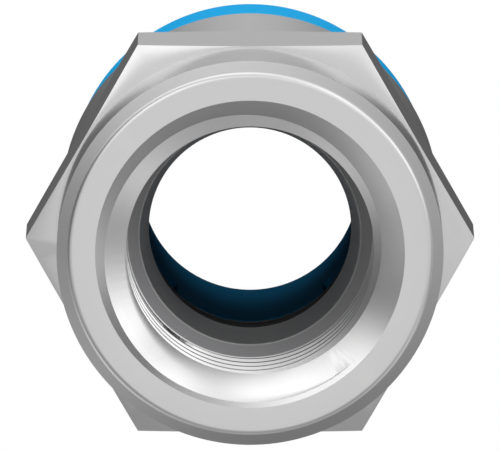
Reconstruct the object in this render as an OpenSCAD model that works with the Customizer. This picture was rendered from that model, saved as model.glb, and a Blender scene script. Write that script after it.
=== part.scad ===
// Straight push-in fitting: female pipe thread at one end, plug-in port for a 10 mm tube at the other.
// The axis lies along +Y. The thread's mouth is at y = 0 and faces -Y, the tube goes in from +Y,
// and one flat of the hexagon faces down.

/* [Threaded end] */
// Bore of the female thread, its minor diameter
thread_bore_d = 11.445; // [11.2:0.005:11.9]
// Depth of the threaded bore from the mouth
thread_depth = 6.75; // [6.4:0.05:7.2]
// Diameter of the 45 degree countersink at the mouth
countersink_d = 14.26; // [13.4:0.01:15]
// Full angle of the drill point that ends the threaded bore
drill_point_angle = 118; // [90:1:140]
// Outer diameter of the flat ring round the mouth
face_d = 16.3; // [15.6:0.01:16.8]
// Radius that rounds the ring's outer edge
face_edge_r = 0.41; // [0.1:0.01:0.5]
// Slope of the chamfer outside that edge, from the face
collar_chamfer_angle = 38; // [25:1:50]

/* [Housing outside] */
// Diameter of the round collar at the threaded end
collar_d = 17.82; // [17.5:0.01:18]
// Length of the collar, from the mouth to the hexagon
collar_l = 5.45; // [3:0.05:7]
// Hexagon, across its flats
hex_flats = 18; // [18:0.1:20]
// Length of the hexagon along the axis
hex_l = 5.85; // [4.5:0.05:6.5]
// Slope of the turned chamfers on the hexagon's corners
hex_chamfer_angle = 17; // [10:1:30]
// Diameter of the round body at the tube end
body_d = 17.72; // [17:0.01:18]
// Length of the round body, from the hexagon to its end
body_l = 8.8; // [8.4:0.05:10]
// Rounding of the body's end
body_edge_r = 0.45; // [0.1:0.05:0.6]

/* [Passage and tube stop] */
// Outer diameter of the tube that plugs in
tube_d = 10; // [9:0.1:10.5]
// Room around the tube, on its radius, in the housing
tube_gap = 0.1; // [0.04:0.01:0.12]
// Diameter of the passage where it leaves the threaded bore
passage_d = 10.2; // [9.8:0.05:10.6]
// Rounding of the edge where the threaded bore meets the passage
passage_edge_r = 0.15; // [0.05:0.01:0.2]
// Length over which the passage narrows
passage_l = 2.5; // [2.2:0.05:2.8]
// Width of the shoulder that stops the tube, inside the tube's surface
stop_w = 0.3; // [0.2:0.01:0.8]
// Length of the straight land at the tube stop
stop_land = 0.25; // [0.1:0.05:0.5]
// Depth of the pocket that guides the tube's end
pocket_l = 1.3; // [1:0.05:1.6]

/* [Seal and support ring] */
// Length of the seal along the axis
seal_l = 2.25; // [2.1:0.05:2.6]
// How far the seal's lips reach inside the tube's surface
seal_squeeze = 0.15; // [0.05:0.01:0.25]
// Radius of each of the two lips
seal_lip_r = 0.45; // [0.35:0.01:0.5]
// Length of the support ring along the axis
support_l = 1.4; // [1.2:0.05:1.6]
// Wall of the support ring at its seal end
support_wall_front = 1.25; // [1:0.05:1.3]
// Wall of the support ring at its clamp end
support_wall_back = 0.8; // [0.6:0.05:0.85]

/* [Clamping ring] */
// Thickness of the spring sheet
clamp_t = 0.3; // [0.2:0.05:0.35]
// Thickness of the teeth at their tips
clamp_tip_t = 0.18; // [0.1:0.01:0.2]
// Number of teeth
clamp_teeth = 12; // [8:1:16]
// Distance from the tube's surface out to the flat rim, where the teeth begin
clamp_reach = 1.05; // [0.95:0.05:1.15]
// How far the tips of the teeth reach inside the tube's surface
clamp_bite = 0.03; // [0:0.01:0.06]
// Slope of the teeth from the rim's plane
clamp_angle = 45; // [40:1:48]
// Width of the slots between the teeth
clamp_slot = 0.6; // [0.3:0.05:0.9]

/* [Release ring] */
// How far the release ring can be pushed in
release_travel = 1.6; // [1:0.05:1.7]
// Room around the tube, on its radius, in the release ring
release_gap = 0.12; // [0.04:0.01:0.15]
// Wall of the release ring's inner sleeve
release_wall = 0.84; // [0.7:0.01:0.9]
// Running room between that sleeve and its guide, on the radius
guide_gap = 0.08; // [0.04:0.01:0.1]
// Height of the snap bead over the sleeve
bead_h = 0.35; // [0.2:0.05:0.4]
// Length of the snap bead
bead_l = 0.65; // [0.5:0.05:0.8]
// Length of the sleeve's nose beyond the bead
nose_l = 1.35; // [1.2:0.05:1.4]
// Wall of the nose at its tip
nose_tip_wall = 0.29; // [0.2:0.01:0.4]
// Slots that let the snap bead spring inwards
release_slots = 4; // [3:1:6]
// Width of those slots
release_slot_w = 0.6; // [0.3:0.05:1]
// Length of those slots beyond the bead
release_slot_l = 1.2; // [0.6:0.1:1.6]
// Outer diameter of the thumb flange
flange_d = 17.06; // [16.8:0.02:17.6]
// Length of the thumb flange
flange_l = 6.2; // [5:0.1:7]
// Rounding of the flange's outer end
flange_round = 1.8; // [0.8:0.1:1.9]
// Rounding of the flange's edge towards the housing
flange_edge_r = 0.4; // [0.1:0.05:0.8]
// Rounded lead-in for the tube
lead_in_r = 1.5; // [0.2:0.05:1.6]

/* [Retaining sleeve] */
// Wall of the sleeve round the snap bead
sleeve_wall = 0.53; // [0.4:0.01:0.8]
// Width of the sleeve's outer collar beyond the cartridge bore
sleeve_collar_w = 0.5; // [0.3:0.05:0.7]
// Length of that collar
sleeve_collar_l = 0.7; // [0.5:0.05:1]
// Chamfers at the sleeve's mouth
sleeve_chamfer = 0.25; // [0.1:0.05:0.4]

/* [Clearances] */
// Play between pieces that are stacked or pressed together
seat_gap = 0.02; // [0.01:0.01:0.04]
// Play at the ends of the release ring's travel
stop_gap = 0.1; // [0.05:0.01:0.15]
// Room around the snap bead, on its radius
bead_gap = 0.2; // [0.1:0.05:0.25]

/* [Hidden] */

round_fn = 128;
// Cutters run past the faces that they open by this much
cut = 1;

// Radii, from the tube outwards and then those of the housing
tube_r = tube_d / 2;
stop_r = tube_r - stop_w;
pocket_r = tube_r + tube_gap;
release_bore_r = tube_r + release_gap;
release_sleeve_r = release_bore_r + release_wall;
guide_r = release_sleeve_r + guide_gap;
bead_r = release_sleeve_r + bead_h;
bead_room_r = bead_r + bead_gap;
insert_r = bead_room_r + sleeve_wall;
cartridge_r = insert_r + seat_gap;
collar_seat_r = cartridge_r + sleeve_collar_w;
clamp_rim_r = tube_r + clamp_reach;
clamp_tip_r = tube_r - clamp_bite;
thread_r = thread_bore_d / 2;
countersink_r = countersink_d / 2;
face_r = face_d / 2;
collar_r = collar_d / 2;
body_r = body_d / 2;
hex_corner_r = hex_flats / 2 / cos(30);
passage_r = passage_d / 2;
flange_r = flange_d / 2;

// Stations along the axis, from the mouth to the tube's end
countersink_end = countersink_r - thread_r;
drill_end = thread_depth + (thread_r - passage_r) / tan(drill_point_angle / 2);
passage_end = drill_end + passage_l;
stop_face = passage_end + stop_land;
hex_start = collar_l;
hex_end = hex_start + hex_l;
body_end = hex_end + body_l;
cartridge_floor = stop_face + pocket_l;
seal_start = cartridge_floor + seat_gap;
seal_end = seal_start + seal_l;
support_start = seal_end + seat_gap;
support_end = support_start + support_l;
clamp_start = support_end + seat_gap;
clamp_end = clamp_start + clamp_t;
sleeve_start = clamp_end + seat_gap;
bead_start = sleeve_start + stop_gap + release_travel;
bead_end = bead_start + bead_l;
guide_start = bead_end + seat_gap;
nose_start = bead_start - nose_l;
flange_start = body_end + release_travel + stop_gap;
flange_end = flange_start + flange_l;
slot_end = bead_end + release_slot_l;

function unit(v) = v / norm(v);

// Points of the arc that rounds corner b, between its neighbours a and c
function round_corner(a, b, c, radius, steps = 6) =
    let (
        back = unit(a - b),
        ahead = unit(c - b),
        half = acos(back * ahead) / 2,
        sweep = 180 - 2 * half,
        centre = b + unit(back + ahead) * radius / sin(half),
        first = (b + back * radius / tan(half) - centre) / radius,
        last = (b + ahead * radius / tan(half) - centre) / radius)
    [for (i = [0:steps])
        centre + radius * (first * sin(sweep * (1 - i / steps)) + last * sin(sweep * i / steps)) / sin(sweep)];

// Turns an outline about the +Y axis. Its corners are [radius, station] or [radius, station, rounding].
module turned(corners) {
    n = len(corners);
    spots = [for (c = corners) [c[0], c[1]]];
    outline = [for (i = [0:n - 1])
        each len(corners[i]) < 3
            ? [spots[i]]
            : round_corner(spots[(i + n - 1) % n], spots[i], spots[(i + 1) % n], corners[i][2])];
    rotate([-90, 0, 0]) rotate_extrude($fn = round_fn) polygon(outline);
}

// The housing's outside as turned, without the hexagon
module turned_outside() {
    chamfer_r = face_r + face_edge_r * tan(collar_chamfer_angle / 2);
    chamfer_end = (collar_r - chamfer_r) * tan(collar_chamfer_angle);
    turned([
        [0, 0],
        [chamfer_r, 0, face_edge_r],
        [collar_r, chamfer_end],
        [collar_r, hex_start],
        [body_r, hex_start],
        [body_r, body_end, body_edge_r],
        [0, body_end]]);
}

// The hexagon, with its corners turned down to a shallow cone at both ends
module hexagon() {
    corner_drop = (hex_corner_r - hex_flats / 2) * tan(hex_chamfer_angle);
    intersection() {
        translate([0, hex_start, 0]) rotate([-90, 0, 0])
            cylinder(r = hex_corner_r, h = hex_l, $fn = 6);
        turned([
            [0, hex_start],
            [hex_flats / 2, hex_start],
            [hex_corner_r + cut, hex_start + corner_drop + cut * tan(hex_chamfer_angle)],
            [hex_corner_r + cut, hex_end - corner_drop - cut * tan(hex_chamfer_angle)],
            [hex_flats / 2, hex_end],
            [0, hex_end]]);
    }
}

// Everything that is bored out of the housing
module bored_inside() {
    turned([
        [0, -cut],
        [countersink_r + cut, -cut],
        [thread_r, countersink_end],
        [thread_r, thread_depth],
        [passage_r, drill_end, passage_edge_r],
        [stop_r, passage_end],
        [stop_r, stop_face],
        [pocket_r, stop_face],
        [pocket_r, cartridge_floor],
        [cartridge_r, cartridge_floor],
        [cartridge_r, body_end - sleeve_collar_l],
        [collar_seat_r, body_end - sleeve_collar_l],
        [collar_seat_r, body_end + cut],
        [0, body_end + cut]]);
}

// Nickel-plated brass housing, one turned piece
module housing() {
    color("silver") difference() {
        union() {
            turned_outside();
            hexagon();
        }
        bored_inside();
    }
}

// Rubber seal with two rounded lips on the tube
module tube_seal() {
    lip_centre_r = tube_r - seal_squeeze + seal_lip_r;
    lip_front = seal_start + seal_lip_r;
    lip_back = seal_end - seal_lip_r - seal_lip_r / 2;
    heel_r = cartridge_r - support_wall_front;
    color("dimgray") rotate([-90, 0, 0]) rotate_extrude($fn = round_fn) {
        translate([lip_centre_r, lip_front]) circle(r = seal_lip_r, $fn = 48);
        translate([lip_centre_r, lip_back]) circle(r = seal_lip_r, $fn = 48);
        polygon([
            [lip_centre_r, seal_start],
            [insert_r, seal_start],
            [insert_r, seal_end],
            [heel_r, seal_end],
            [lip_centre_r, lip_back + seal_lip_r]]);
    }
}

// Ring that backs the seal and gives the teeth room to swing
module support_ring() {
    color("black") turned([
        [cartridge_r - support_wall_front, support_start],
        [insert_r, support_start],
        [insert_r, support_end],
        [cartridge_r - support_wall_back, support_end]]);
}

// Slotted spring-steel ring, with teeth that lean inwards and away from the tube's end
module clamping_ring() {
    tooth_len = (clamp_rim_r - clamp_tip_r - clamp_tip_t * sin(clamp_angle)) / cos(clamp_angle);
    lean = [-cos(clamp_angle), -sin(clamp_angle)];
    across = [-sin(clamp_angle), cos(clamp_angle)];
    root = [clamp_rim_r, clamp_start];
    tip = root + lean * tooth_len;
    inner_bend = clamp_rim_r - clamp_t * tan(clamp_angle / 2);
    color("lightsteelblue") difference() {
        turned([
            [insert_r, clamp_start],
            [insert_r, clamp_end],
            [inner_bend, clamp_end],
            tip + across * clamp_tip_t,
            tip,
            root]);
        for (i = [0:clamp_teeth - 1]) rotate([0, 360 / clamp_teeth * (i + 0.5), 0]) {
            translate([0, tip[1] - cut, -clamp_slot / 2])
                cube([clamp_rim_r, clamp_end - tip[1] + 2 * cut, clamp_slot]);
            translate([clamp_rim_r, tip[1] - cut, 0]) rotate([-90, 0, 0])
                cylinder(d = clamp_slot, h = clamp_end - tip[1] + 2 * cut, $fn = 32);
        }
    }
}

// Brass sleeve pressed into the body, which traps the clamping ring and guides the release ring
module retaining_sleeve() {
    collar_start = body_end - sleeve_collar_l + seat_gap;
    color("goldenrod") turned([
        [bead_room_r, sleeve_start],
        [insert_r, sleeve_start],
        [insert_r, collar_start],
        [collar_seat_r - seat_gap, collar_start],
        [collar_seat_r - seat_gap, body_end - sleeve_chamfer],
        [collar_seat_r - seat_gap - sleeve_chamfer, body_end],
        [guide_r + sleeve_chamfer, body_end],
        [guide_r, body_end - sleeve_chamfer],
        [guide_r, guide_start],
        [bead_room_r, guide_start]]);
}

// Moulded release ring: thumb flange, inner sleeve, snap bead and nose in one piece
module release_ring() {
    nose_tip_r = release_bore_r + nose_tip_wall;
    nose_back = nose_start + release_wall - nose_tip_wall;
    color("deepskyblue") difference() {
        turned([
            [release_bore_r, nose_start],
            [nose_tip_r, nose_start],
            [release_sleeve_r, nose_back],
            [release_sleeve_r, bead_start],
            [bead_r, bead_start + bead_h],
            [bead_r, bead_end],
            [release_sleeve_r, bead_end],
            [release_sleeve_r, flange_start],
            [flange_r, flange_start, flange_edge_r],
            [flange_r, flange_end, flange_round],
            [release_bore_r, flange_end, lead_in_r]]);
        for (i = [0:release_slots - 1]) rotate([0, 360 / release_slots * (i + 0.5), 0]) {
            translate([0, nose_start - cut, -release_slot_w / 2])
                cube([bead_r + cut, slot_end - nose_start + cut, release_slot_w]);
            translate([0, slot_end, 0]) rotate([0, 90, 0])
                cylinder(d = release_slot_w, h = bead_r + cut, $fn = 32);
        }
    }
}

housing();
tube_seal();
support_ring();
clamping_ring();
retaining_sleeve();
release_ring();
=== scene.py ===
"""Looks of a push-in fitting with a female pipe thread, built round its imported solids.

Lengths are in metres and the axis is +Y, with the centre of the mouth's face at the origin.
"""

import math

import bmesh
import bpy
from mathutils import Matrix, Vector


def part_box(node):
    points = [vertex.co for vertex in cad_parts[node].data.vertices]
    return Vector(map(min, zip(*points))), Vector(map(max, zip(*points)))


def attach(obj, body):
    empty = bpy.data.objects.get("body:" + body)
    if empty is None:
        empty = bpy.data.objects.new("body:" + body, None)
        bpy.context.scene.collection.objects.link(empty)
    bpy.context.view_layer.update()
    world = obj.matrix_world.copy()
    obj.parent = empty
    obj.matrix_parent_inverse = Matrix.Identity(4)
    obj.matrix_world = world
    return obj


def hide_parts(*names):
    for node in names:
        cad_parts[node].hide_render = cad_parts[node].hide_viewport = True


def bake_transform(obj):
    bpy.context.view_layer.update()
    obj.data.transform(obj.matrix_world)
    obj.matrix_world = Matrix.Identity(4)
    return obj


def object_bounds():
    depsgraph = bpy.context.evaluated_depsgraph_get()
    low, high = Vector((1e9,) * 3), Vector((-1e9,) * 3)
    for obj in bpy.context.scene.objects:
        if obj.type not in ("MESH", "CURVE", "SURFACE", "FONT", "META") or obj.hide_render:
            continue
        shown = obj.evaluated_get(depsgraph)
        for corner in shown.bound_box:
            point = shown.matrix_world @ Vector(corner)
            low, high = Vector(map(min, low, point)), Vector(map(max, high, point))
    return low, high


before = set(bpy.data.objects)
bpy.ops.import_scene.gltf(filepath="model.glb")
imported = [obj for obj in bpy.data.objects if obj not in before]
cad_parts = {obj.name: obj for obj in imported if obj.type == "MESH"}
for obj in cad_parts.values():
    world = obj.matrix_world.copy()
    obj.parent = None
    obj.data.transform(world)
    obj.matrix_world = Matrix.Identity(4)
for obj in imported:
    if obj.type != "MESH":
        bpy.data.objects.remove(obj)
cad_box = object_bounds()

MM = 0.001
FULL_TURN = 2 * math.pi
AXIS = Vector((0, 1, 0))
FIT_GAP = 0.02 * MM

# The tube and what fits round it, as radii
TUBE_R = 5.0 * MM
POCKET_R = TUBE_R + 0.1 * MM
STOP_R = TUBE_R - 0.3 * MM
RING_BORE_R = TUBE_R + 0.12 * MM
RING_SLEEVE_R = RING_BORE_R + 0.84 * MM
GUIDE_R = RING_SLEEVE_R + 0.08 * MM
BEAD_R = RING_SLEEVE_R + 0.35 * MM
BEAD_ROOM_R = BEAD_R + 0.2 * MM
INSERT_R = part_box("tube_seal")[1].x
CARTRIDGE_R = INSERT_R + FIT_GAP
SLEEVE_COLLAR_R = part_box("retaining_sleeve")[1].x
SLEEVE_SEAT_R = SLEEVE_COLLAR_R + FIT_GAP

# The thread: a 1/4 inch pipe thread, 19 turns to the inch; it starts on the mouth's cone, at an angle from +X
THREAD_R = 5.7225 * MM
THREAD_PITCH = 25.4 / 19 * MM
THREAD_ROOT_R = 6.92 * MM
THREAD_FRONT_FLANK = math.radians(2)
THREAD_REAR_FLANK = math.radians(30)
THREAD_ROOT_FLAT = 0.27 * MM
THREAD_DEPTH = 6.75 * MM
THREAD_START = math.radians(-46)
THREAD_TAIL = 0.87 * MM
THREAD_RUNOUT = 0.08 * MM
DRILL_POINT = math.radians(59)

# The housing's other radii and lengths along the axis
MOUTH_R = 7.13 * MM
FACE_R = 8.15 * MM
FACE_ROUNDING = 0.41 * MM
COLLAR_CHAMFER = math.radians(38)
COLLAR_R = 8.91 * MM
BODY_R = 8.86 * MM
BODY_ROUNDING = 0.45 * MM
HEX_START = 5.45 * MM
HEX_END = 11.3 * MM
HEX_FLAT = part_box("housing")[1].z
HEX_HALF_ANGLE = math.radians(30)
HEX_CORNER = HEX_FLAT / math.cos(HEX_HALF_ANGLE)
HEX_CHAMFER = math.radians(17)
HEX_EDGE = 0.03 * MM
BODY_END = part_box("housing")[1].y
SLEEVE_SEAT = BODY_END - 0.7 * MM
PASSAGE_R = 5.1 * MM
PASSAGE_ROUNDING = 0.15 * MM
DRILL_END = THREAD_DEPTH + (THREAD_R - PASSAGE_R) / math.tan(DRILL_POINT)
PASSAGE_END = DRILL_END + 2.5 * MM
STOP_FACE = PASSAGE_END + 0.25 * MM
POCKET_END = STOP_FACE + 1.3 * MM

# Stations of the pieces behind the tube stop
SEAL_START, SEAL_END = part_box("tube_seal")[0].y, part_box("tube_seal")[1].y
SUPPORT_START, SUPPORT_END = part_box("support_ring")[0].y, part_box("support_ring")[1].y
CLAMP_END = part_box("clamping_ring")[1].y
CLAMP_START = CLAMP_END - 0.3 * MM
SLEEVE_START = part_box("retaining_sleeve")[0].y
NOSE_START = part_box("release_ring")[0].y
BEAD_START = NOSE_START + 1.35 * MM
BEAD_END = BEAD_START + 0.65 * MM
GUIDE_START = BEAD_END + FIT_GAP
RING_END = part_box("release_ring")[1].y
FLANGE_START = RING_END - 6.2 * MM
FLANGE_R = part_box("release_ring")[1].x

# How finely shapes are made, and how far a cutting shape reaches past what it cuts
SPIN_STEPS = 192
THREAD_STEPS = 96
FINE_ARC = 8
OVERCUT = 1 * MM
CRISP_EDGE = math.radians(18)


def arc_points(before, corner, after, radius):
    """Points of the arc that rounds a corner of an outline."""
    back = (before - corner).normalized()
    ahead = (after - corner).normalized()
    half = back.angle(ahead) / 2
    centre = corner + (back + ahead).normalized() * radius / math.sin(half)
    first = corner + back * radius / math.tan(half) - centre
    last = corner + ahead * radius / math.tan(half) - centre
    sweep = math.pi - 2 * half
    return [
        centre
        + first * (math.sin(sweep * (1 - i / FINE_ARC)) / math.sin(sweep))
        + last * (math.sin(sweep * i / FINE_ARC) / math.sin(sweep))
        for i in range(FINE_ARC + 1)
    ]


def rounded_outline(corners):
    """Corners are (radius, station) or (radius, station, rounding); the result is a list of points."""
    spots = [Vector((c[0], c[1])) for c in corners]
    points = []
    for i, corner in enumerate(corners):
        if len(corner) < 3:
            points.append(spots[i])
        else:
            points += arc_points(spots[i - 1], spots[i], spots[(i + 1) % len(spots)], corner[2])
    return points


def turned(corners):
    """A ring spun about the axis from its closed outline."""
    bm = bmesh.new()
    verts = [bm.verts.new((p.x, p.y, 0)) for p in rounded_outline(corners)]
    edges = [bm.edges.new((verts[i - 1], verts[i])) for i in range(len(verts))]
    bmesh.ops.spin(
        bm, geom=verts + edges, cent=(0, 0, 0), axis=AXIS, dvec=(0, 0, 0),
        angle=FULL_TURN, steps=SPIN_STEPS, use_merge=True, use_duplicate=False,
    )
    bmesh.ops.remove_doubles(bm, verts=bm.verts, dist=1e-7)
    bmesh.ops.recalc_face_normals(bm, faces=bm.faces)
    return bm


def piece_from(bm, name):
    """A new object whose place is in its mesh."""
    mesh = bpy.data.meshes.new(name)
    bm.to_mesh(mesh)
    bm.free()
    piece = bpy.data.objects.new(name, mesh)
    bpy.context.scene.collection.objects.link(piece)
    return piece


def combine(piece, operation, tool_bm):
    """Joins, cuts or intersects a piece with a tool shape, which is then thrown away."""
    tool = piece_from(tool_bm, "tool")
    modifier = piece.modifiers.new("combine", "BOOLEAN")
    modifier.operation = operation
    modifier.solver = "EXACT"
    modifier.object = tool
    bpy.context.view_layer.update()
    evaluated = piece.evaluated_get(bpy.context.evaluated_depsgraph_get())
    result = bpy.data.meshes.new_from_object(evaluated)
    result.name = piece.name
    piece.modifiers.clear()
    piece.data = result
    bpy.data.objects.remove(tool)


def even_turns(count):
    """Turns about the axis, evenly spaced, that start half a step from +X."""
    return [Matrix.Rotation(FULL_TURN * (i + 0.5) / count, 4, "Y") for i in range(count)]


def radial_slots(count, middle, size):
    """Slots round the axis: middle is (radius, station), size is their reach outwards, along and across."""
    bm = bmesh.new()
    for turn in even_turns(count):
        place = turn @ Matrix.Translation((*middle, 0))
        bmesh.ops.create_cube(bm, size=1, matrix=place @ Matrix.Diagonal((*size, 1)))
    return bm


def smooth(piece):
    """Smooth shading with crisp edges, where large faces keep their own normals."""
    piece.data.shade_smooth()
    piece.data.set_sharp_from_angle(angle=CRISP_EDGE)
    weighted = piece.modifiers.new("even_shading", "WEIGHTED_NORMAL")
    weighted.mode = "FACE_AREA_WITH_ANGLE"
    weighted.weight = 80
    weighted.keep_sharp = True
    return piece


def finish_piece(piece, body, node, material):
    """Gives a piece its finish and puts it in the place of its CAD node."""
    smooth(piece)
    piece.data.materials.clear()
    piece.data.materials.append(material)
    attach(piece, body)
    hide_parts(node)


# Shapes of the housing

def housing_ring():
    """The turned housing, outside and bore, without its hexagon and thread groove."""
    chamfer_r = FACE_R + FACE_ROUNDING * math.tan(COLLAR_CHAMFER / 2)
    chamfer_end = (COLLAR_R - chamfer_r) * math.tan(COLLAR_CHAMFER)
    return turned([
        (MOUTH_R, 0),
        (chamfer_r, 0, FACE_ROUNDING),
        (COLLAR_R, chamfer_end),
        (COLLAR_R, HEX_START),
        (BODY_R, HEX_START),
        (BODY_R, BODY_END, BODY_ROUNDING),
        (SLEEVE_SEAT_R, BODY_END),
        (SLEEVE_SEAT_R, SLEEVE_SEAT),
        (CARTRIDGE_R, SLEEVE_SEAT),
        (CARTRIDGE_R, POCKET_END),
        (POCKET_R, POCKET_END),
        (POCKET_R, STOP_FACE),
        (STOP_R, STOP_FACE),
        (STOP_R, PASSAGE_END),
        (PASSAGE_R, DRILL_END, PASSAGE_ROUNDING),
        (THREAD_R, THREAD_DEPTH),
        (THREAD_R, MOUTH_R - THREAD_R),
    ])


def hexagon_prism():
    """Six flats, one of them facing down, with slightly broken edges."""
    bm = bmesh.new()
    bmesh.ops.create_circle(
        bm, cap_ends=True, segments=6, radius=HEX_CORNER,
        matrix=Matrix.Translation((0, HEX_START, 0)) @ Matrix.Rotation(math.radians(-90), 4, "X")
        @ Matrix.Rotation(HEX_HALF_ANGLE, 4, "Z"),
    )
    grown = bmesh.ops.extrude_face_region(bm, geom=bm.faces[:])
    top = [g for g in grown["geom"] if isinstance(g, bmesh.types.BMVert)]
    bmesh.ops.translate(bm, verts=top, vec=AXIS * (HEX_END - HEX_START))
    long_edges = [e for e in bm.edges if abs(e.verts[0].co.y - e.verts[1].co.y) > MM]
    bmesh.ops.bevel(
        bm, geom=long_edges, offset=HEX_EDGE, offset_type="OFFSET", segments=3,
        profile=0.5, affect="EDGES", material=-1,
    )
    bmesh.ops.recalc_face_normals(bm, faces=bm.faces)
    return bm


def hexagon_turning():
    """The ring that the hexagon's corners are turned down to, with a shallow cone at both ends."""
    reach = HEX_CORNER + OVERCUT
    drop = (reach - HEX_FLAT) * math.tan(HEX_CHAMFER)
    inner = (CARTRIDGE_R + COLLAR_R) / 2
    return turned([
        (inner, HEX_START),
        (HEX_FLAT, HEX_START),
        (reach, HEX_START + drop),
        (reach, HEX_END - drop),
        (HEX_FLAT, HEX_END),
        (inner, HEX_END),
    ])


def thread_groove():
    """The thread's groove as a solid: a section carried along a right-hand helix that runs out at its end."""
    inner_r = THREAD_R - 0.03 * MM
    shallow_r = inner_r + 0.02 * MM
    depth = THREAD_ROOT_R - inner_r
    first = MOUTH_R - THREAD_ROOT_R - THREAD_ROOT_FLAT / 2
    last = THREAD_DEPTH - THREAD_TAIL
    start_station = first - OVERCUT
    turns = (last - start_station) / THREAD_PITCH
    steps = round(turns * THREAD_STEPS)
    # the helix begins in front of the face, and reaches the mouth's cone at THREAD_START
    start_angle = THREAD_START + OVERCUT / THREAD_PITCH * FULL_TURN
    section = [
        (inner_r, -THREAD_ROOT_FLAT / 2 - depth * math.tan(THREAD_FRONT_FLANK)),
        (THREAD_ROOT_R, -THREAD_ROOT_FLAT / 2),
        (THREAD_ROOT_R, THREAD_ROOT_FLAT / 2),
        (inner_r, THREAD_ROOT_FLAT / 2 + depth * math.tan(THREAD_REAR_FLANK)),
    ]
    bm = bmesh.new()
    verts = [
        bm.verts.new((r * math.cos(start_angle), start_station + y, r * math.sin(start_angle)))
        for r, y in section
    ]
    face = bm.faces.new(verts)
    bmesh.ops.spin(
        bm, geom=[face], cent=(0, 0, 0), axis=AXIS,
        dvec=AXIS * (last - start_station) / steps,
        angle=turns * FULL_TURN, steps=steps, use_merge=False, use_duplicate=False,
    )
    runout_start = last - THREAD_RUNOUT
    for v in bm.verts:
        radius = math.hypot(v.co.x, v.co.z)
        if v.co.y > runout_start and radius > (inner_r + shallow_r) / 2:
            share = min(1, (v.co.y - runout_start) / THREAD_RUNOUT)
            wanted = radius + (shallow_r - radius) * share ** 2
            v.co.x *= wanted / radius
            v.co.z *= wanted / radius
    bmesh.ops.recalc_face_normals(bm, faces=bm.faces)
    return bm


def make_housing():
    """The housing in one piece: turned body with its thread groove, and the hexagon round it."""
    hexagon = piece_from(hexagon_prism(), "hexagon")
    combine(hexagon, "INTERSECT", hexagon_turning())
    nut = bmesh.new()
    nut.from_mesh(hexagon.data)
    bpy.data.objects.remove(hexagon)
    housing = piece_from(housing_ring(), "threaded_housing")
    combine(housing, "DIFFERENCE", thread_groove())
    combine(housing, "UNION", nut)
    return housing


# Shapes of the pieces behind the tube stop

def make_seal():
    """Rubber seal with two rounded lips that reach just inside the tube's surface."""
    lip_r = 0.45 * MM
    crown = TUBE_R - 0.15 * MM
    front = SEAL_START + lip_r
    back = SEAL_END - 1.5 * lip_r
    waist = (front + back) / 2
    heel_r = CARTRIDGE_R - 1.25 * MM
    return piece_from(turned([
        (crown + lip_r, SEAL_START),
        (INSERT_R, SEAL_START, 0.12 * MM),
        (INSERT_R, SEAL_END, 0.12 * MM),
        (heel_r, SEAL_END, 0.1 * MM),
        (crown + 1.2 * lip_r, back + lip_r, 0.12 * MM),
        (crown, back + 0.75 * lip_r, 0.3 * MM),
        (crown, back - 0.75 * lip_r, 0.3 * MM),
        (crown + 0.5 * lip_r, waist, 0.15 * MM),
        (crown, front + 0.75 * lip_r, 0.3 * MM),
        (crown, front - 0.75 * lip_r, 0.3 * MM),
    ]), "lip_seal")


def make_support():
    """Ring that backs the seal and gives the teeth room to swing."""
    return piece_from(turned([
        (CARTRIDGE_R - 1.25 * MM, SUPPORT_START, 0.06 * MM),
        (INSERT_R, SUPPORT_START, 0.08 * MM),
        (INSERT_R, SUPPORT_END, 0.08 * MM),
        (CARTRIDGE_R - 0.8 * MM, SUPPORT_END, 0.06 * MM),
    ]), "backing_ring")


def make_clamp():
    """Spring-steel ring with twelve teeth that lean inwards and away from the tube's end."""
    teeth = 12
    slot_w = 0.6 * MM
    rim_r = TUBE_R + 1.05 * MM
    tip_r = TUBE_R - 0.03 * MM
    metal = CLAMP_END - CLAMP_START
    tip_metal = 0.18 * MM
    lean = math.radians(45)
    along = Vector((-math.cos(lean), -math.sin(lean)))
    across = Vector((-math.sin(lean), math.cos(lean)))
    root = Vector((rim_r, CLAMP_START))
    tip = root + along * (rim_r - tip_r - tip_metal * math.sin(lean)) / math.cos(lean)
    tip_back = tip + across * tip_metal
    bend = Vector((rim_r - metal * math.tan(lean / 2), CLAMP_END))
    thirds = (1 / 3, 2 / 3)
    inside = [bend.lerp(tip_back, share) for share in thirds]
    outside = [tip.lerp(root, share) for share in thirds]
    ring = piece_from(turned(
        [(INSERT_R, CLAMP_START, 0.05 * MM), (INSERT_R, CLAMP_END, 0.05 * MM), tuple(bend)]
        + [tuple(p) for p in inside] + [tuple(tip_back), tuple(tip)]
        + [tuple(p) for p in outside] + [tuple(root)]
    ), "grab_ring")
    reach = 3 * MM
    slot_run = 4 * MM
    slots = radial_slots(teeth, (rim_r - reach / 2, CLAMP_END), (reach, slot_run, slot_w))
    combine(ring, "DIFFERENCE", slots)
    roots = bmesh.new()
    out_to_rim = Matrix.Translation((rim_r, CLAMP_END, 0))
    along_axis = Matrix.Rotation(math.radians(90), 4, "X")
    for turn in even_turns(teeth):
        bmesh.ops.create_cone(
            roots, cap_ends=True, segments=24, radius1=slot_w / 2, radius2=slot_w / 2,
            depth=slot_run, matrix=turn @ out_to_rim @ along_axis,
        )
    combine(ring, "DIFFERENCE", roots)
    return ring


def make_sleeve():
    """Sleeve pressed into the body, which traps the teeth and guides the release ring."""
    collar_start = BODY_END - 0.68 * MM
    edge = 0.25 * MM
    return piece_from(turned([
        (BEAD_ROOM_R, SLEEVE_START),
        (INSERT_R, SLEEVE_START, 0.06 * MM),
        (INSERT_R, collar_start),
        (SLEEVE_COLLAR_R, collar_start, 0.06 * MM),
        (SLEEVE_COLLAR_R, BODY_END, edge),
        (GUIDE_R, BODY_END, edge),
        (GUIDE_R, GUIDE_START),
        (BEAD_ROOM_R, GUIDE_START),
    ]), "guide_sleeve")


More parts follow.
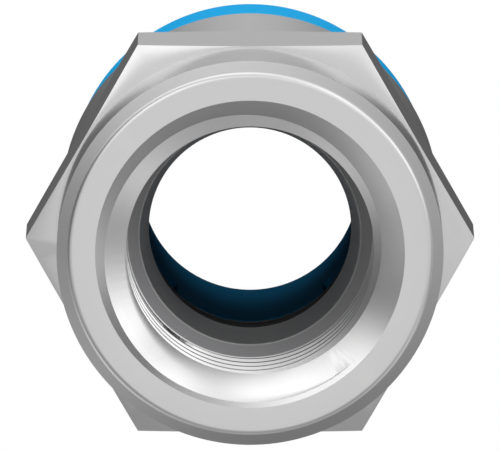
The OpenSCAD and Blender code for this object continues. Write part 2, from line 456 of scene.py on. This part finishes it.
def make_release():
    """Moulded ring: thumb flange, inner sleeve, snap bead and slotted nose in one piece."""
    nose_tip_r = RING_BORE_R + 0.29 * MM
    nose_back = NOSE_START + RING_SLEEVE_R - nose_tip_r
    slot_end = BEAD_END + 1.2 * MM
    slot_w = 0.6 * MM
    fingers = 4
    reach = 4 * MM
    ring = piece_from(turned([
        (RING_BORE_R, NOSE_START, 0.06 * MM),
        (nose_tip_r, NOSE_START, 0.08 * MM),
        (RING_SLEEVE_R, nose_back),
        (RING_SLEEVE_R, BEAD_START),
        (BEAD_R, BEAD_START + BEAD_R - RING_SLEEVE_R, 0.12 * MM),
        (BEAD_R, BEAD_END, 0.05 * MM),
        (RING_SLEEVE_R, BEAD_END),
        (RING_SLEEVE_R, FLANGE_START, 0.2 * MM),
        (FLANGE_R, FLANGE_START, 0.4 * MM),
        (FLANGE_R, RING_END, 1.8 * MM),
        (RING_BORE_R, RING_END, 1.5 * MM),
    ]), "push_ring")
    length = slot_end - NOSE_START + OVERCUT
    slots = radial_slots(fingers, (RING_BORE_R + MM, slot_end - length / 2), (reach, length, slot_w))
    combine(ring, "DIFFERENCE", slots)
    return ring


# Materials

def node(tree, kind, inputs=None, **settings):
    """A new node with its settings, whose inputs are set to values or linked from sockets."""
    made = tree.nodes.new(kind)
    for name, value in settings.items():
        setattr(made, name, value)
    for name, value in (inputs or {}).items():
        if isinstance(value, bpy.types.NodeSocket):
            tree.links.new(value, made.inputs[name])
        else:
            made.inputs[name].default_value = value
    return made


def reckon(tree, operation, *values):
    """The result of a Math node for sockets or numbers."""
    return node(tree, "ShaderNodeMath", dict(enumerate(values)), operation=operation).outputs[0]


def fade(tree, value, low, high, start=0.0, end=1.0):
    """Goes from start to end as a value goes from low to high."""
    return node(tree, "ShaderNodeMapRange", {
        "Value": value, "From Min": low, "From Max": high, "To Min": start, "To Max": end,
    }).outputs[0]


def cloud(tree, place, scale, detail):
    """Soft noise over a piece's own coordinates."""
    return node(tree, "ShaderNodeTexNoise", {"Vector": place, "Scale": scale, "Detail": detail}).outputs[0]


def spot(tree):
    """Where a spot of a piece lies: its own coordinates, its distance from the axis, its station along it."""
    place = node(tree, "ShaderNodeTexCoord").outputs["Object"]
    parts = node(tree, "ShaderNodeSeparateXYZ", {0: place})
    flat = node(tree, "ShaderNodeCombineXYZ", {0: parts.outputs["X"], 2: parts.outputs["Z"]})
    radius = node(tree, "ShaderNodeVectorMath", {0: flat.outputs[0]}, operation="LENGTH")
    return place, radius.outputs["Value"], parts.outputs["Y"]


def varied(tree, base, spread, first, second):
    """A value that two noises move up and down by a spread."""
    centred = reckon(tree, "SUBTRACT", reckon(tree, "ADD", first, second), 1.0)
    return reckon(tree, "MULTIPLY_ADD", centred, spread, base)


def new_group(name, inputs, outputs):
    """An empty node group: inputs are {name: default number}, outputs are the names of numbers."""
    group = bpy.data.node_groups.new(name, "ShaderNodeTree")
    for label, default in inputs.items():
        socket = group.interface.new_socket(label, in_out="INPUT", socket_type="NodeSocketFloat")
        socket.default_value = default
    for label in outputs:
        group.interface.new_socket(label, in_out="OUTPUT", socket_type="NodeSocketFloat")
    return group, group.nodes.new("NodeGroupInput").outputs, group.nodes.new("NodeGroupOutput").inputs


def turning_marks_group():
    """Fine rings that a lathe leaves, as a height and a roughness."""
    group, given, result = new_group(
        "turning_marks", {"Rings per metre": 9000, "Roughness": 0.3, "Spread": 0.04}, ["Height", "Roughness"],
    )
    place, radius, station = spot(group)
    run = reckon(group, "ADD", radius, station)
    scaled = reckon(group, "MULTIPLY", run, given["Rings per metre"])
    rings = node(
        group, "ShaderNodeTexNoise", {"W": scaled, "Scale": 1.0, "Detail": 3.0}, noise_dimensions="1D",
    ).outputs[0]
    rough = varied(group, given["Roughness"], given["Spread"], rings, cloud(group, place, 420.0, 3.0))
    group.links.new(rings, result["Height"])
    group.links.new(rough, result["Roughness"])
    return group


def housing_zones_group():
    """The collar's chamfer and the passage are left dull; painted shade darkens the chamfer a little and the
    drill's cone fully.
    """
    group, given, result = new_group("housing_zones", {"Roughness": 0.3}, ["Roughness", "Painted shade"])
    # share of painted shade on the collar's chamfer
    chamfer_shade = 0.40
    coarser = 0.25
    _, radius, station = spot(group)
    outside = fade(group, radius, FACE_R + 0.25 * MM, FACE_R + 0.30 * MM)
    near = fade(group, station, 0.5 * MM, 0.6 * MM, 1.0, 0.0)
    chamfer = reckon(group, "MULTIPLY", outside, near)
    within = fade(group, radius, THREAD_R - 0.06 * MM, THREAD_R - 0.02 * MM, 1.0, 0.0)
    past_passage = fade(group, radius, PASSAGE_R + 0.04 * MM, PASSAGE_R + 0.08 * MM)
    drill_cone = reckon(group, "MULTIPLY", within, past_passage)
    # painted shade: the chamfer a little, the drill's cone fully
    shade_mask = reckon(group, "MULTIPLY_ADD", chamfer, chamfer_shade, drill_cone)
    coarse = reckon(group, "MAXIMUM", chamfer, within)
    rough = reckon(group, "MULTIPLY_ADD", coarse, coarser, given["Roughness"])
    group.links.new(rough, result["Roughness"])
    group.links.new(shade_mask, result["Painted shade"])
    return group


def edge_wear_group():
    """How much an outer edge has been rubbed bright, broken up by a fine cloud."""
    group, given, result = new_group("edge_wear", {"Amount": 0.5}, ["Mask"])
    shape = node(group, "ShaderNodeNewGeometry")
    edge = fade(group, shape.outputs["Pointiness"], 0.51, 0.58)
    place = node(group, "ShaderNodeTexCoord").outputs["Object"]
    broken = reckon(group, "MULTIPLY", edge, cloud(group, place, 900.0, 4.0))
    group.links.new(reckon(group, "MULTIPLY", broken, given["Amount"]), result["Mask"])
    return group


def moulded_skin_group():
    """Soft blotches and fine grain of a moulded surface, as a tint, a roughness and a height."""
    group, given, result = new_group(
        "moulded_skin", {"Cloud scale": 300, "Grain scale": 6000, "Roughness": 0.4, "Spread": 0.06},
        ["Tint", "Roughness", "Height"],
    )
    place = node(group, "ShaderNodeTexCoord").outputs["Object"]
    blotches = cloud(group, place, given["Cloud scale"], 3.0)
    grain = cloud(group, place, given["Grain scale"], 2.0)
    rough = varied(group, given["Roughness"], given["Spread"], blotches, grain)
    group.links.new(blotches, result["Tint"])
    group.links.new(rough, result["Roughness"])
    group.links.new(grain, result["Height"])
    return group


def deep_bore_group():
    """How far inside the release ring a spot lies, as a mask for painted shade: 1 on its bore and within the
    body, 0 on its flange.
    """
    group, given, result = new_group("deep_bore", {"Roughness": 0.5}, ["Mask", "Roughness"])
    dull = 0.95
    _, radius, station = spot(group)
    bore = fade(group, radius, RING_BORE_R + 0.1 * MM, RING_BORE_R + 1.0 * MM, 1.0, 0.0)
    inside = fade(group, station, BODY_END - 0.5 * MM, BODY_END, 1.0, 0.0)
    deep = reckon(group, "MAXIMUM", bore, inside)
    group.links.new(deep, result["Mask"])
    group.links.new(fade(group, deep, 0.0, 1.0, given["Roughness"], dull), result["Roughness"])
    return group


# How high the finest marks stand at full strength, and a Mix node's sockets for colours
MARK_HEIGHT = 0.01 * MM
MIX_FROM, MIX_TO, MIXED = 6, 7, 2


def mixed(tree, mask, colour, other):
    """Goes from one colour to another by a mask; the first may be a socket."""
    start = colour if isinstance(colour, bpy.types.NodeSocket) else (*colour, 1)
    return node(
        tree, "ShaderNodeMix", {"Factor": mask, MIX_FROM: start, MIX_TO: (*other, 1)}, data_type="RGBA",
    ).outputs[MIXED]


def new_material(name, metallic=0.0, specular=0.5):
    """A material whose plain values are set on its shader."""
    material = bpy.data.materials.new(name)
    material.use_nodes = True
    shader = material.node_tree.nodes["Principled BSDF"]
    shader.inputs["Metallic"].default_value = metallic
    shader.inputs["Specular IOR Level"].default_value = specular
    return material, material.node_tree, shader


def dress(tree, shader, tint, rough, height, strength):
    """Connects what changes over the surface: tint, roughness and a fine relief."""
    tree.links.new(tint, shader.inputs["Base Color"])
    tree.links.new(rough, shader.inputs["Roughness"])
    bump = node(tree, "ShaderNodeBump", {"Height": height, "Strength": strength, "Distance": MARK_HEIGHT})
    tree.links.new(bump.outputs[0], shader.inputs["Normal"])


def metal_material(name, colour, worn_colour, roughness, mark_depth=0.15, painted_shade_colour=None):
    """Turned metal with lathe rings and edges rubbed brighter; the housing also has its own zones, with
    painted shade on its chamfer and drill's cone.
    """
    material, tree, shader = new_material(name, metallic=1.0)
    marks = node(tree, "ShaderNodeGroup", {"Roughness": roughness}, node_tree=turning_marks)
    worn = node(tree, "ShaderNodeGroup", node_tree=edge_wear)
    tint = mixed(tree, worn.outputs["Mask"], colour, worn_colour)
    rough = marks.outputs["Roughness"]
    # the housing's chamfer and drill's cone get painted shade
    if painted_shade_colour:
        zones = node(tree, "ShaderNodeGroup", {"Roughness": rough}, node_tree=housing_zones)
        tint = mixed(tree, zones.outputs["Painted shade"], tint, painted_shade_colour)
        rough = zones.outputs["Roughness"]
    dress(tree, shader, tint, rough, marks.outputs["Height"], mark_depth)
    return material


def moulded_material(name, colour, other_colour, roughness, specular, grain=6000, painted_bore_shade=None):
    """Moulded plastic or rubber with a faint flow of tint and a fine skin, with painted shade and a duller
    finish in a deep bore.
    """
    skin_depth = 0.1
    material, tree, shader = new_material(name, specular=specular)
    skin = node(
        tree, "ShaderNodeGroup", {"Grain scale": grain, "Roughness": roughness}, node_tree=moulded_skin,
    )
    tint = mixed(tree, skin.outputs["Tint"], colour, other_colour)
    rough = skin.outputs["Roughness"]
    if painted_bore_shade:
        deep = node(tree, "ShaderNodeGroup", {"Roughness": rough}, node_tree=deep_bore)
        # painted shade: the deep bore is given a darker colour
        tint = mixed(tree, deep.outputs["Mask"], tint, painted_bore_shade)
        rough = deep.outputs["Roughness"]
    dress(tree, shader, tint, rough, skin.outputs["Height"], skin_depth)
    return material


turning_marks = turning_marks_group()
housing_zones = housing_zones_group()
edge_wear = edge_wear_group()
moulded_skin = moulded_skin_group()
deep_bore = deep_bore_group()

# The housing's darker colour is painted shade for its chamfer and drill's cone
nickel = metal_material(
    "satin_nickel_plating", (0.80, 0.80, 0.80), (0.86, 0.86, 0.85), 0.30, painted_shade_colour=(0.38, 0.38, 0.39),
)
plated = metal_material("plated_brass", (0.74, 0.73, 0.71), (0.82, 0.78, 0.68), 0.28)
spring = metal_material("stamped_spring_steel", (0.60, 0.60, 0.61), (0.75, 0.75, 0.76), 0.25, mark_depth=0.05)
# The blue ring's bore colour is painted shade, where little light reaches deep inside
blue = moulded_material(
    "blue_acetal", (0.006, 0.46, 0.96), (0.010, 0.50, 1.0), 0.55, 0.02, painted_bore_shade=(0.001, 0.09, 0.19),
)
black = moulded_material("black_acetal", (0.020, 0.020, 0.023), (0.030, 0.030, 0.034), 0.5, 0.4)
rubber = moulded_material(
    "black_nitrile", (0.016, 0.016, 0.017), (0.030, 0.030, 0.031), 0.65, 0.3, grain=3000,
)

finish_piece(make_housing(), "fitting", "housing", nickel)
finish_piece(make_seal(), "fitting", "tube_seal", rubber)
finish_piece(make_support(), "fitting", "support_ring", black)
finish_piece(make_sleeve(), "fitting", "retaining_sleeve", plated)
finish_piece(make_release(), "release", "release_ring", blue)

grab_ring = smooth(make_clamp())
grab_ring.data.materials.append(spring)
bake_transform(grab_ring)
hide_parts("clamping_ring")


# Studio: white surroundings for the camera, and soft lights that the part sees

def direction(azimuth, elevation):
    """Unit vector: azimuth turns from -Y, the side of the camera, towards +X."""
    a, e = math.radians(azimuth), math.radians(elevation)
    return Vector((math.sin(a) * math.cos(e), -math.cos(a) * math.cos(e), math.sin(e)))


# Each soft light: azimuth, elevation, sharpness, strength
SOFT_LIGHTS = [
    (0, 52, 40, 0.75),
    (36, 43, 40, 1.61),
    (54, 22, 40, 1.85),
    (58, 6, 40, 0.55),
    (0, 70, 40, 1.10),
    (56, 62, 20, 0.55),
    (-56, 62, 20, 1.60),
    (-83, 38, 24, 1.60),
    (90, -7, 24, 0.80),
    (-90, -7, 24, 0.49),
    (-80, -40, 16, 1.02),
    (0, -7, 20, 0.74),
    (34, -7, 20, 0.72),
    (-34, -7, 20, 0.54),
    (-18, 22, 30, 1.77),
    (18, 22, 30, 1.15),
    (0, -36, 12, 0.29),
    (58, -33, 30, 0.86),
    (45, -55, 30, 0.43),
    (0, -67, 30, 0.41),
    (-45, -55, 30, 0.44),
    (180, 8, 60, 0.57),
    (180, 60, 24, 4.80),
    (180, -20, 12, 0.10),
]


def make_world():
    """The soft lights added up, each brightest in its own direction; the camera itself sees plain white."""
    world = bpy.data.worlds.new("soft_studio")
    bpy.context.scene.world = world
    world.use_nodes = True
    tree = world.node_tree
    tree.nodes.clear()
    look = node(tree, "ShaderNodeTexCoord").outputs["Generated"]
    total = 0.0
    for azimuth, elevation, sharpness, strength in SOFT_LIGHTS:
        towards = direction(azimuth, elevation)
        facing = node(tree, "ShaderNodeVectorMath", {0: look, 1: towards}, operation="DOT_PRODUCT")
        front = reckon(tree, "MAXIMUM", facing.outputs["Value"], 0.0)
        lobe = reckon(tree, "POWER", front, float(sharpness))
        total = reckon(tree, "MULTIPLY_ADD", lobe, strength, total)
    seen = node(tree, "ShaderNodeLightPath").outputs["Is Camera Ray"]
    soft = node(tree, "ShaderNodeBackground", {"Color": (1, 1, 1, 1), "Strength": total})
    white = node(tree, "ShaderNodeBackground", {"Color": (1, 1, 1, 1), "Strength": 1.0})
    either = node(tree, "ShaderNodeMixShader", {0: seen, 1: soft.outputs[0], 2: white.outputs[0]})
    node(tree, "ShaderNodeOutputWorld", {"Surface": either.outputs[0]})


def make_floor():
    """A plain white floor that the flat of the hexagon lies on."""
    half_width = 1.5
    level = Matrix.Translation((0, 0, cad_box[0][2]))
    bm = bmesh.new()
    bmesh.ops.create_grid(bm, x_segments=1, y_segments=1, size=half_width, matrix=level)
    floor = piece_from(bm, "floor")
    material, tree, shader = new_material("white_floor", specular=0.0)
    shader.inputs["Base Color"].default_value = (0, 0, 0, 1)
    shader.inputs["Emission Color"].default_value = (1, 1, 1, 1)
    shader.inputs["Emission Strength"].default_value = 1.0
    floor.data.materials.append(material)
    floor.visible_glossy = False
    floor.visible_diffuse = False
    floor.visible_shadow = False


def make_camera():
    """A long lens, a little above the axis; the mouth's centre lies below the middle of the picture."""
    elevation = math.radians(7.3)
    image_width = 500
    pixel = 0.0460 * MM
    rise = 29.5 * pixel
    lens = 1450
    sensor = 36
    data = bpy.data.cameras.new("camera")
    data.sensor_width = sensor
    data.lens = lens
    distance = lens / sensor * image_width * pixel
    out = Vector((0, -math.cos(elevation), math.sin(elevation)))
    up = Vector((0, math.sin(elevation), math.cos(elevation)))
    data.clip_start = 0.1
    data.clip_end = 10
    camera = bpy.data.objects.new("camera", data)
    camera.location = up * rise + out * distance
    camera.rotation_euler = (math.radians(90) - elevation, 0, 0)
    bpy.context.scene.collection.objects.link(camera)
    bpy.context.scene.camera = camera


make_world()
make_floor()
make_camera()
bpy.context.scene.view_settings.view_transform = "Standard"
